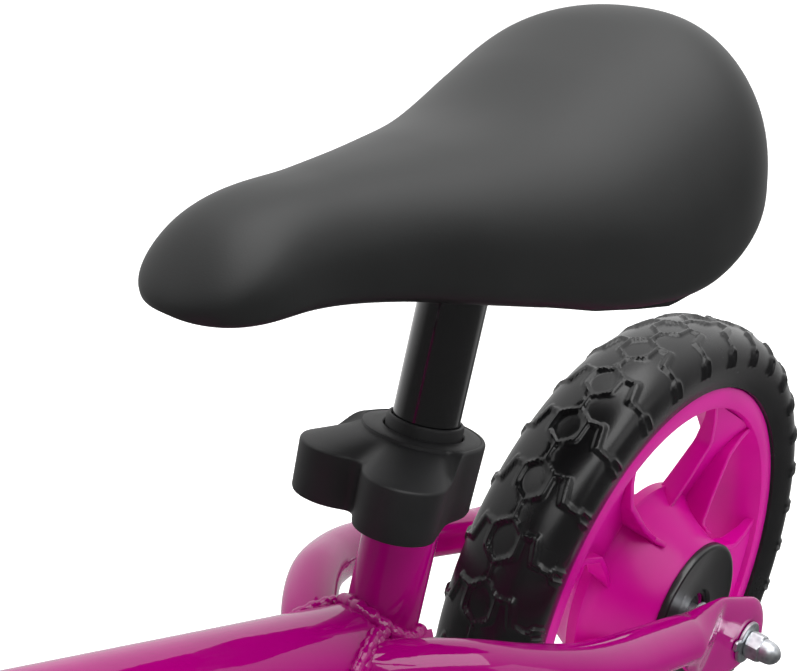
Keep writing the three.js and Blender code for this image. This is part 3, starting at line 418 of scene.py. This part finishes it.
# Gloss enamel over steel: the colour coat varies over 70 mm, and the clear skin has an orange peel of 5 mm.
enamel_settings = {"IOR": 1.5, "Specular_IOR_Level": 0.0, "Coat_Weight": 1.0, "Coat_Roughness": 0.04}
enamel, tree, shader, where = finish("enamel_magenta_gloss", Roughness=0.5, **enamel_settings)
coat = node(tree, "ShaderNodeTexNoise", Vector=where, Scale=14.0, Detail=3.0).outputs["Fac"]
peel = node(tree, "ShaderNodeTexNoise", Vector=where, Scale=190.0, Detail=1.5).outputs["Fac"]
surface(tree, shader, coat, ("#98006B", "#A30073"), relief=peel, lift=(0.09, 0.0006))


def frame_along(direction):
    """Two directions square to a given one, the first as near as can be to the bike's side."""
    u = SIDE - direction * (SIDE @ direction)
    u /= np.linalg.norm(u)
    return u, np.cross(direction, u)


def turned(profile, at, direction, segments=72):
    """Closed (radius, distance) profile carried round an axis through a point."""
    u, v = frame_along(direction)
    profile = np.asarray(profile, float)
    a = np.linspace(0, 2 * np.pi, segments, endpoint=False)[:, None, None]
    outwards_way = np.cos(a) * u + np.sin(a) * v
    return shell(at + profile[None, :, 1:] * direction + profile[None, :, :1] * outwards_way)


def pipe(at, direction, span, radius, wall):
    """Straight pipe over a span of its axis, its rims eased by half a millimetre."""
    (start, end), bore, ease = span, radius - wall, 0.5
    profile = [(bore, start), (radius - ease, start), (radius, start + ease)]
    profile += [(radius, end - ease), (radius - ease, end), (bore, end)]
    return turned(profile, at, direction)


def reach(points, direction, at, axis, radius):
    """Along lines from points, the distance to a cylinder's near wall: the lesser root of the quadratic in
    that distance. Lines that miss the cylinder stop beside its axis."""
    w = points - at
    w = w - np.outer(w @ axis, axis)
    d = direction - axis * (direction @ axis)
    a, b, c = d @ d, w @ d, (w * w).sum(1) - radius**2
    return (-b - np.sqrt(np.maximum(b * b - a * c, 0))) / a


def mitred(at, direction, rear, tail, front, radius, wall, segments=192):
    """Pipe cut to the cylinders it meets; rear and front are (axis point, axis direction, radius). Where it
    passes beside the rear one it runs on to its square end, the distance tail behind the point."""
    u, v = frame_along(direction)
    a = np.linspace(0, 2 * np.pi, segments, endpoint=False)[:, None]
    share = np.linspace(0, 1, 40)
    skins = []
    for r, run in ((radius, share), (radius - wall, share[::-1])):
        start = at + r * (np.cos(a) * u + np.sin(a) * v)
        beside = np.abs((start - rear[0]) @ SIDE) >= rear[2]
        back = -np.where(beside, tail, reach(start, -direction, *rear))
        ahead = reach(start, direction, *front)
        skins.append(start[:, None] + (back[:, None] + (ahead - back)[:, None] * run)[..., None] * direction)
    return shell(np.concatenate(skins, 1))


at_seat, at_head = (POST_BASE, POST_DIR, SEAT_R - SUNK), (STEER_BASE, STEER_DIR, HEAD_R - SUNK)
main_tube = mitred(MAIN_MID, MAIN_DIR, at_seat, MAIN_TAIL, at_head, MAIN_R, MAIN_WALL)
seat_tube = pipe(POST_BASE, POST_DIR, SEAT_SPAN, SEAT_R, SEAT_WALL)
head_tube = pipe(STEER_BASE, STEER_DIR, HEAD_SPAN, HEAD_R, HEAD_WALL)
for name, tube in (("main_tube", main_tube), ("seat_tube", seat_tube), ("head_tube", head_tube)):
    piece(f"{name}_enamelled", [tube], "frame", [name], enamel)

# ------------------------------------------------------------------ stays
# Two steel tubes bent round the tyre, welded to the sides of the main tube, each pressed flat over its last
# third and cut round where the axle passes.
STAY_DOWN = np.array([0.0, 1.0, -0.4107]) / math.hypot(1, 0.4107)
STAY_UP = np.array([0.0, 0.4107, 1.0]) / math.hypot(1, 0.4107)
STAY_BASE = np.array([0.0, 106.7, 244.0])  # on the plane that touches the tops of both stays
STAY_R, STAY_X, STAY_PAST_AXLE = 11.0, 62.0, 21.0
STAY_BEND = [(0, -38, 30), (11, -38, 23), (24, -31, 16.5), (40, -13.5, 11.5)]  # out, along, below the plane
STAY_BEND += [(52, 8, STAY_R), (59.5, 30, STAY_R)]
STAY_BEND += [(STAY_X, 52, STAY_R), (STAY_X, 80, STAY_R), (STAY_X, 120, STAY_R)]
PLATE_HALF, PLATE_HALF_THICK = 20.0, 2.5  # of the pressed end
PRESSED_BY, ROUND_FROM, ROUND_OVER = 0.38, 0.72, 0.285  # shares of the pressed length


def sleeve(path, normal, half_along, half_across, power, around=48):
    """Tube carried along a path lying in a plane: sections are |x/w|^n + |y/h|^n = 1, x along the normal."""
    t = np.gradient(path, axis=0)
    t /= np.linalg.norm(t, axis=1)[:, None]
    n = normal - t * (t @ normal)[:, None]
    n /= np.linalg.norm(n, axis=1)[:, None]
    cx, cy = oval(power[:, None], around)
    grid = path[:, None] + n[:, None] * (cx * half_along[:, None])[..., None]
    grid = grid + np.cross(t, n)[:, None] * (cy * half_across[:, None])[..., None]
    return with_ends(path, grid)


def stay_shell(side):
    """Round tube whose section grows tall and thin by an eased share of the pressed length; its end is a half
    round, sqrt(1 - f^2) tall."""
    out, along, drop = (column[:, None] for column in np.array(STAY_BEND).T)
    bend = spline(STAY_BASE + SIDE * side * out + STAY_DOWN * along - STAY_UP * drop, 120)
    tip = AXLES["rear"] + SIDE * side * STAY_X + STAY_DOWN * STAY_PAST_AXLE
    pressed = np.linspace(0, 1, 61)[1:]
    path = np.vstack([bend, bend[-1] + (tip - bend[-1]) * pressed[:, None]])
    f = np.concatenate([np.zeros(len(bend)), pressed])
    e = smoothstep(f / PRESSED_BY)
    end = np.sqrt(np.clip(1 - ((f - ROUND_FROM) / ROUND_OVER) ** 2, 0, 1))
    tall = (STAY_R + (PLATE_HALF - STAY_R) * e) * np.where(f > ROUND_FROM, np.maximum(0.05, end), 1)
    thick = STAY_R + (PLATE_HALF_THICK - STAY_R) * e
    return sleeve(path, STAY_UP, tall, thick, 2 + 1.2 * e)


for side, tag in ((1, "left"), (-1, "right")):
    piece(f"stay_{tag}_enamelled", [stay_shell(side)], "frame", [f"stay_{tag}"], enamel, 50.0)

# ------------------------------------------------------------------ welds
# Beads of weld metal round each joint, laid by hand in overlapping puddles and left proud under the enamel.
# Each stay has a second run laid beside the first.
FOOT_BEAD, HEAD_BEAD, STAY_BEAD = 3.1, 2.4, 2.6
PUDDLE = 5.6
STAY_BEAD_ANGLES = [36, 42, 54, 66, 80, 92]  # degrees from the top of the main tube
STAY_BEAD_ALONG = [4.5, 7.5, 14.0, 19.0, 23.0, 25.0]
STAY_BEAD_RUNS = (0.0, 4.0)
rng = np.random.default_rng(7)


def bead(path, size, around=14):
    """Round bead along a path, its radius pulsing as |sin| once for each puddle, with some unevenness, and
    tapered at both ends."""
    gone = np.concatenate([[0], np.cumsum(np.linalg.norm(np.diff(path, axis=0), axis=1))])
    puddle = 0.85 + 0.25 * np.abs(np.sin(gone * np.pi / PUDDLE)) + rng.normal(0, 0.035, len(path))
    place = np.arange(len(path))
    r = size * puddle * np.minimum(1, np.minimum(place, place[::-1]) / 4 + 0.15)
    t = np.gradient(path, axis=0)
    t /= np.linalg.norm(t, axis=1)[:, None]
    n = np.cross(t, [0.3, 0.2, 1.0])
    n /= np.linalg.norm(n, axis=1)[:, None]
    w = np.linspace(0, 2 * np.pi, around, endpoint=False)[:, None]
    ring = n[:, None] * np.cos(w) + np.cross(t, n)[:, None] * np.sin(w)
    return with_ends(path, path[:, None] + ring * r[:, None, None])


def meeting(at, direction, sign, radius, cylinder, start, end, count):
    """Curve where a pipe meets a cylinder (point, axis, radius), for angles start to end round the pipe."""
    u, v = frame_along(direction)
    a = np.radians(np.linspace(start, end, count))[:, None]
    p = at + radius * (np.cos(a) * u + np.sin(a) * v)
    return p + (sign * reach(p, sign * direction, *cylinder))[:, None] * direction


main_skin, head_skin = (MAIN_POINT, MAIN_DIR, MAIN_R), (STEER_BASE, STEER_DIR, HEAD_R)
above = POST_BASE + POST_DIR * 160
beads = [bead(meeting(above, POST_DIR, -1, SEAT_R + 1.0, main_skin, -215, 35, 110), FOOT_BEAD)]
beads.append(bead(meeting(MAIN_MID, MAIN_DIR, 1, MAIN_R, head_skin, -180, 180, 120), HEAD_BEAD))
for side in (1, -1):
    for beyond in STAY_BEAD_RUNS:
        turn = np.linspace(STAY_BEAD_ANGLES[0], STAY_BEAD_ANGLES[-1], 60)
        along = np.interp(turn, STAY_BEAD_ANGLES, STAY_BEAD_ALONG) + beyond
        out = np.outer(np.sin(np.radians(turn)) * side, SIDE) + np.outer(np.cos(np.radians(turn)), MAIN_UP)
        beads.append(bead(MAIN_POINT + along[:, None] * MAIN_DIR + out * (MAIN_R + 0.6), STAY_BEAD))
piece("weld_beads", beads, "frame", [], enamel, 70.0)

# ------------------------------------------------------------------ seat clamp
# A nylon bush in the mouth of the seat tube grips the post when the hand nut is turned down over it. The nut
# is a round boss with two thumb lobes, whose tops slope up to the rim of the boss.
NUT_LOW, NUT_HIGH, NUT_LOBE_TOP, NUT_BOSS, NUT_BORE = 147.7, 175.0, 167.4, 23.0, 15.1
NUT_STEP = 1.5  # the boss stands this far above the lobes at its rim
LOBES = [(19.5, -30.5, 15.0), (-13.5, -27.5, 15.5)]  # out, rearwards, radius
NECK_R, WEB = 18.5, [(1.5, -18, 16.5), (0, 0, 15)]
BLEND = 2.2  # softness of the hollow between two lobes
BUSH_SECTION = [(13.0, 163.2), (14.6, 163.2), (14.6, 178.4), (14.2, 179.2), (13.4, 179.4), (13.0, 179.0)]

# Nylon from a spark-eroded mould: matte black, its sparkle 0.5 mm across over clouds of 17 mm.
satin_nylon, tree, shader, where = finish("nylon_black_satin", IOR=1.5)
cloud = node(tree, "ShaderNodeTexNoise", Vector=where, Scale=60.0, Detail=3.0).outputs["Fac"]
spark = node(tree, "ShaderNodeTexNoise", Vector=where, Scale=2200.0, Detail=2.0).outputs["Fac"]
surface(tree, shader, cloud, ("#131314", "#18181A"), spark, (0.48, 0.62), spark, (0.16, 0.0002))


def hull_radius(angle, circles):
    """Distance from the middle to the tightest skin round some circles: for each direction the least, over
    all tangent directions, of the skin's reach divided by the cosine between the two."""
    psi = np.linspace(0, 2 * np.pi, 720, endpoint=False)
    support = np.max([x * np.cos(psi) + y * np.sin(psi) + r for x, y, r in circles], axis=0)
    c = np.cos(angle[:, None] - psi)
    return np.where(c > 1e-3, support / np.maximum(c, 1e-3), 1e9).min(1)


def hand_nut_shell():
    """Outline carried up the post: its radius is the soft maximum log(sum(exp)) of the boss, the lobes and a
    web between them, and its top edge is lower the further out it lies."""
    a = np.linspace(0, 2 * np.pi, 256, endpoint=False)
    parts = [np.full_like(a, NUT_BOSS), hull_radius(a, WEB)]
    parts += [hull_radius(a, [(0, 0, NECK_R), lobe]) for lobe in LOBES]
    rho = BLEND * np.log(np.exp(np.array(parts) / BLEND).sum(0))[:, None]
    out = smoothstep((rho - 25) / 10)
    edge = NUT_HIGH - (NUT_HIGH - NUT_LOBE_TOP) * out
    flank = [NUT_LOW + 1.2 + (edge - 2.4 - NUT_LOW) * k for k in (0.33, 0.66, 1.0)]
    rows = [(NUT_BORE, NUT_LOW), (rho - 1.6, NUT_LOW), (rho - 0.9, NUT_LOW + 0.3), (rho - 0.5, NUT_LOW + 1.2)]
    rows += [(rho - 0.5 + 0.5 * k, height) for k, height in zip((0.33, 0.66, 1.0), flank)]
    rows += [(rho - 0.1, edge - 0.7), (rho - 0.4, edge - 0.25), (rho - 0.9, edge)]
    step = np.minimum(23.2, rho - 1.5)
    for k in np.linspace(0.1, 1, 12):
        rows.append(((rho - 0.9) + (step - rho + 0.9) * k, edge + (NUT_HIGH - NUT_STEP * out - edge) * k))
    rows += [(step - 0.3, NUT_HIGH - 0.3), (step - 0.8, NUT_HIGH), (18.0, NUT_HIGH)]
    rows += [(NUT_BORE + 0.5, NUT_HIGH), (NUT_BORE, NUT_HIGH - 0.5)]
    r, z = (np.concatenate([row[k] + 0 * rho for row in rows], 1)[..., None] for k in (0, 1))
    way = np.cos(a)[:, None, None] * SIDE + np.sin(a)[:, None, None] * np.cross(POST_DIR, SIDE)
    return shell(POST_BASE + z * POST_DIR + r * way)


piece("hand_nut_lobed", [hand_nut_shell()], "hand_nut", ["clamp_nut"], satin_nylon, 40.0)
bush = [turned(BUSH_SECTION, POST_BASE, POST_DIR)]
piece("clamp_bush_collar", bush, "frame", ["clamp_bush"], satin_nylon)

# ------------------------------------------------------------------ seat post
# Steel tube of 25.4 mm in hard black gloss enamel, finely scratched along its length where the bush grips it.
POST_SPAN, POST_R, POST_WALL = (74, 241.7), 12.7, 1.6

# Black gloss enamel: scratches about 1 mm apart and 80 mm long, under a clear gloss.
gloss_black, tree, shader, where = finish("enamel_black_gloss", IOR=1.5, Coat_Weight=1.0, Coat_Roughness=0.04)
drawn = node(tree, "ShaderNodeMapping", Vector=where, Scale=(900.0, 900.0, 12.0)).outputs["Vector"]
scuff = node(tree, "ShaderNodeTexNoise", Vector=drawn, Scale=1.0, Detail=2.0).outputs["Fac"]
surface(tree, shader, scuff, ("#060607", "#0D0D0E"), scuff, (0.2, 0.26), span=(0.35, 0.8))
post = [pipe(POST_BASE, POST_DIR, POST_SPAN, POST_R, POST_WALL)]
piece("seat_post_tube", post, "seat", ["seat_post"], gloss_black)

# ------------------------------------------------------------------ saddle
# Self-skinning polyurethane foam moulded round a plastic pan: one smooth dark skin, narrow and rounded at the
# nose, broad and kicked up at the tail, its lower edge rolled in round the pan.
SADDLE_TIP = math.radians(10.9)
SADDLE_FROM, SADDLE_TO = -226.0, 33.4  # nose and tail behind the rear axle, before tipping
SADDLE_SHARE = [0.0, 0.12, 0.25, 0.4, 0.55, 0.7, 0.85, 1.0]
SADDLE_HALF = [31.2, 26.2, 30.7, 46.5, 62.9, 71.8, 76.1, 58.0]
SADDLE_TOP = [305.4, 316.0, 311.4, 304.7, 300.3, 306.1, 312.7, 317.6]
SADDLE_LOW = [292.3, 284.4, 270.4, 250.9, 232.4, 223.2, 236.7, 253.9]
SADDLE_ABOVE, SADDLE_BELOW = 2.35, 3.6  # powers of the section over and under its widest line
PAN_INSET, PAN_RISE = 7.0, 10.3  # room for the pan: in from the edge, up from the lowest line

# Moulded foam skin: clouds of mould release 62 mm across, pores of 0.5 mm, soft sheen without gloss.
foam, tree, shader, where = finish("polyurethane_foam_skin", IOR=1.42)
cloud = node(tree, "ShaderNodeTexNoise", Vector=where, Scale=16.0, Detail=3.0).outputs["Fac"]
pores = node(tree, "ShaderNodeTexNoise", Vector=where, Scale=1900.0, Detail=2.0).outputs["Fac"]
surface(tree, shader, cloud, ("#191A1A", "#1F2020"), cloud, (0.44, 0.54), pores, (0.14, 0.0002))


def through(x, stations, values):
    """Smooth curve through stations: cubic pieces whose slope at a station is that between its neighbours."""
    xs, ys = np.asarray(stations, float), np.asarray(values, float)
    before, after = np.maximum(np.arange(len(xs)) - 1, 0), np.minimum(np.arange(len(xs)) + 1, len(xs) - 1)
    slope = (ys[after] - ys[before]) / (xs[after] - xs[before])
    i = np.clip(np.searchsorted(xs, x, side="right") - 1, 0, len(xs) - 2)
    h = xs[i + 1] - xs[i]
    u = (x - xs[i]) / h
    start = (2 * u**3 - 3 * u**2 + 1) * ys[i] + (u**3 - 2 * u**2 + u) * h * slope[i]
    return start + (3 * u**2 - 2 * u**3) * ys[i + 1] + (u**3 - u**2) * h * slope[i + 1]


def rounded(u, over, power=2.2):
    """Grows from 0 to 1 over a share of the length as a quarter of a superellipse."""
    return (1 - (1 - np.clip(u / over, 0, 1)) ** power) ** (1 / power)


def saddle_shell(stations=150, around=128):
    """Sections |x/w|^n + |z/h|^n = 1 across the saddle, of one power above the widest line and another below
    it; inside the rolled edge the underside is lifted to leave room for the pan."""
    s = (1 - np.cos(np.pi * np.linspace(0, 1, stations))) / 2
    half, top, low = (through(s, SADDLE_SHARE, values) for values in (SADDLE_HALF, SADDLE_TOP, SADDLE_LOW))
    half = (half * rounded(s, 0.12) * rounded(1 - s, 0.34))[:, None]
    flat = rounded(s, 0.10) * rounded(1 - s, 0.20)
    mid = low + 0.3 * (top - low)
    a = (np.arange(around) + 0.5) / around * 2 * np.pi
    c, z = np.cos(a), np.sin(a)
    e = np.where(z > 0, 2 / SADDLE_ABOVE, 2 / SADDLE_BELOW)
    x = half * np.sign(c) * np.abs(c) ** e
    tall = np.where(z > 0, (top - mid)[:, None], (mid - low)[:, None]) * flat[:, None]
    inside = smoothstep((half - PAN_INSET - np.abs(x)) / 2.0)
    inside = inside * (smoothstep((s - 0.05) / 0.025) * smoothstep((0.93 - s) / 0.025))[:, None]
    height = mid[:, None] + tall * np.sign(z) * np.abs(z) ** e + np.where(z < 0, PAN_RISE * inside, 0)
    y = np.broadcast_to((SADDLE_FROM + (SADDLE_TO - SADDLE_FROM) * s)[:, None], x.shape)
    ct, st = math.cos(SADDLE_TIP), math.sin(SADDLE_TIP)
    return shell(np.stack([x, y * ct - height * st, y * st + height * ct], -1) + AXLES["rear"], False, True)


saddle = piece("saddle_cushion", [saddle_shell()], "seat", ["saddle"], foam, 60.0)

# ------------------------------------------------------------------ pieces that keep their machined shape
# Saddle pan, bracket and screws, axles and hub sleeves, headset, fork, stem, bar and grips keep the shape
# made for the works. Each gets its finish, and its facets are merged and shaded round below a crease angle.
CREASE, MERGE = math.radians(34), 1e-5

# Matte black rubber: ribs 5 mm apart round the grip, over a cloudy tone of 2 mm.
rubber, tree, shader, where = finish("rubber_black_matte", IOR=1.5)
cloud = node(tree, "ShaderNodeTexNoise", Vector=where, Scale=500.0, Detail=3.0).outputs["Fac"]
banded = {"wave_type": "BANDS", "bands_direction": "X"}
ribs = node(tree, "ShaderNodeTexWave", banded, Vector=where, Scale=62.0).outputs["Fac"]
surface(tree, shader, cloud, ("#1B1B1C", "#222223"), cloud, (0.55, 0.7), ribs, (0.5, 0.0008))

# Oiled mild steel: grey with darker smears of 7 mm.
plain_steel, tree, shader, where = finish("mild_steel_oiled", Metallic=1.0)
smear = node(tree, "ShaderNodeTexNoise", Vector=where, Scale=150.0, Detail=4.0).outputs["Fac"]
surface(tree, shader, smear, ("#6E7175", "#85888C"), smear, (0.3, 0.5))

FINISHES = {
    "frame_paint": enamel,
    "wheel_plastic": nylon,
    "tyre_foam": eva_foam,
    "saddle_foam": foam,
    "black_plastic": satin_nylon,
    "gloss_black_plastic": cap_abs,
    "black_enamel": gloss_black,
    "grip_rubber": rubber,
    "zinc_steel": zinc,
    "bearing_steel": race_steel,
    "plain_steel": plain_steel,
}
for entry in frame["record"]["subparts"]:
    kept = frame["nodes"][entry["node"]]
    if kept.hide_render:
        continue
    mesh = kept.data
    mesh.materials.clear()
    mesh.materials.append(FINISHES[entry["material_slot"]])
    mesh.polygons.foreach_set("use_smooth", np.ones(len(mesh.polygons), bool))
    mesh.polygons.foreach_set("material_index", np.zeros(len(mesh.polygons), np.int32))
    if "custom_normal" in mesh.attributes:
        mesh.attributes.remove(mesh.attributes["custom_normal"])
    kept.modifiers.new("weld", "WELD").merge_threshold = MERGE
    kept.modifiers.new("crease", "EDGE_SPLIT").split_angle = CREASE

# ------------------------------------------------------------------ studio
# Pale floor inside a curved white wall, one large soft box overhead, a smaller one on the rider's left, and a
# sky that is bright behind the bike and dim on the camera's side. Sizes here are metres.
FLOOR_HALF, WALL_RADIUS, WALL_HEIGHTS = 12.0, 9.0, (0.0, 3.0, 10.0)
PALE = ("#F4F4F4", "#F8F8F8")
BIKE_MIDDLE = (0.0, 0.1, 0.3)
WHITE = (1.0, 1.0, 1.0, 1.0)
scene = bpy.context.scene


def studio_piece(name, points, quads, scale, glow):
    """A white painted sheet, its tone varying a little, lit evenly from behind by glow."""
    lit = {"Emission_Color": WHITE, "Emission_Strength": glow}
    paint, tree, shader, where = finish(f"{name}_white", Roughness=0.7, **lit)
    cloud = node(tree, "ShaderNodeTexNoise", Vector=where, Scale=scale, Detail=2.0).outputs["Fac"]
    surface(tree, shader, cloud, PALE)
    mesh = bpy.data.meshes.new(name)
    mesh.from_pydata(points, [], quads)
    mesh.materials.append(paint)
    made = bpy.data.objects.new(name, mesh)
    scene.collection.objects.link(made)
    made.visible_glossy = False  # keeps it out of the enamel, as a dark card in front of the bike does
    return made


corners = [(x * FLOOR_HALF, y * FLOOR_HALF, 0) for x, y in ((-1, -1), (1, -1), (1, 1), (-1, 1))]
studio_piece("studio_floor", corners, [(0, 1, 2, 3)], 3.0, 0.45)
a, height = np.meshgrid(np.linspace(0, 2 * np.pi, 96, endpoint=False), WALL_HEIGHTS, indexing="ij")
wall_grid = np.stack([WALL_RADIUS * np.cos(a), WALL_RADIUS * np.sin(a), height], -1)
wall_points, wall_quads = shell(wall_grid, True, False)
wall = studio_piece("studio_wall", wall_points.tolist(), wall_quads.tolist(), 1.0, 1.0)
wall.visible_diffuse = wall.visible_shadow = wall.visible_transmission = False

sky = bpy.data.worlds.new("studio")
scene.world = sky
sky.use_nodes = True
tree = sky.node_tree
tree.nodes.clear()
way = node(tree, "ShaderNodeTexCoord").outputs["Generated"]
towards = node(tree, "ShaderNodeVectorMath", {"operation": "DOT_PRODUCT"}, i0=way, i1=(-0.55, 0.60, 0.58))
value = towards.outputs["Value"]
glow = node(tree, "ShaderNodeMapRange", Value=value, From_Min=-0.1, From_Max=0.8, To_Min=0.12, To_Max=1.15)
light = node(tree, "ShaderNodeBackground", Color=WHITE, Strength=glow.outputs["Result"])
node(tree, "ShaderNodeOutputWorld", Surface=light.outputs["Background"])


def soft_box(name, at, width, watts):
    """Square soft light of a width in metres, looking from at to the middle of the bike."""
    lamp = bpy.data.lights.new(name, "AREA")
    lamp.shape, lamp.size, lamp.energy = "SQUARE", width, watts
    made = bpy.data.objects.new(name, lamp)
    made.location = at
    made.rotation_euler = (Vector(BIKE_MIDDLE) - Vector(at)).to_track_quat("-Z", "Y").to_euler()
    scene.collection.objects.link(made)


soft_box("box_over", (0.25, 0.0, 2.0), 2.4, 50)
soft_box("box_left", (2.0, 0.9, 1.2), 1.0, 3)

# ------------------------------------------------------------------ camera
# Close on the saddle and the rear wheel, from above the main tube on the rider's left, looking back and down.
CAMERA_AT, CAMERA_WAY, LENS = (0.2369, -0.1589, 0.5177), (-0.6165, 0.6669, -0.4187), 50.16
lens = bpy.data.cameras.new("lens")
lens.lens, lens.sensor_width, lens.clip_start = LENS, 36.0, 0.01
camera = bpy.data.objects.new("camera", lens)
camera.location = CAMERA_AT
camera.rotation_euler = Vector(CAMERA_WAY).to_track_quat("-Z", "Y").to_euler()
scene.collection.objects.link(camera)
scene.camera = camera
scene.view_settings.view_transform = "Standard"

bpy.context.view_layer.update()
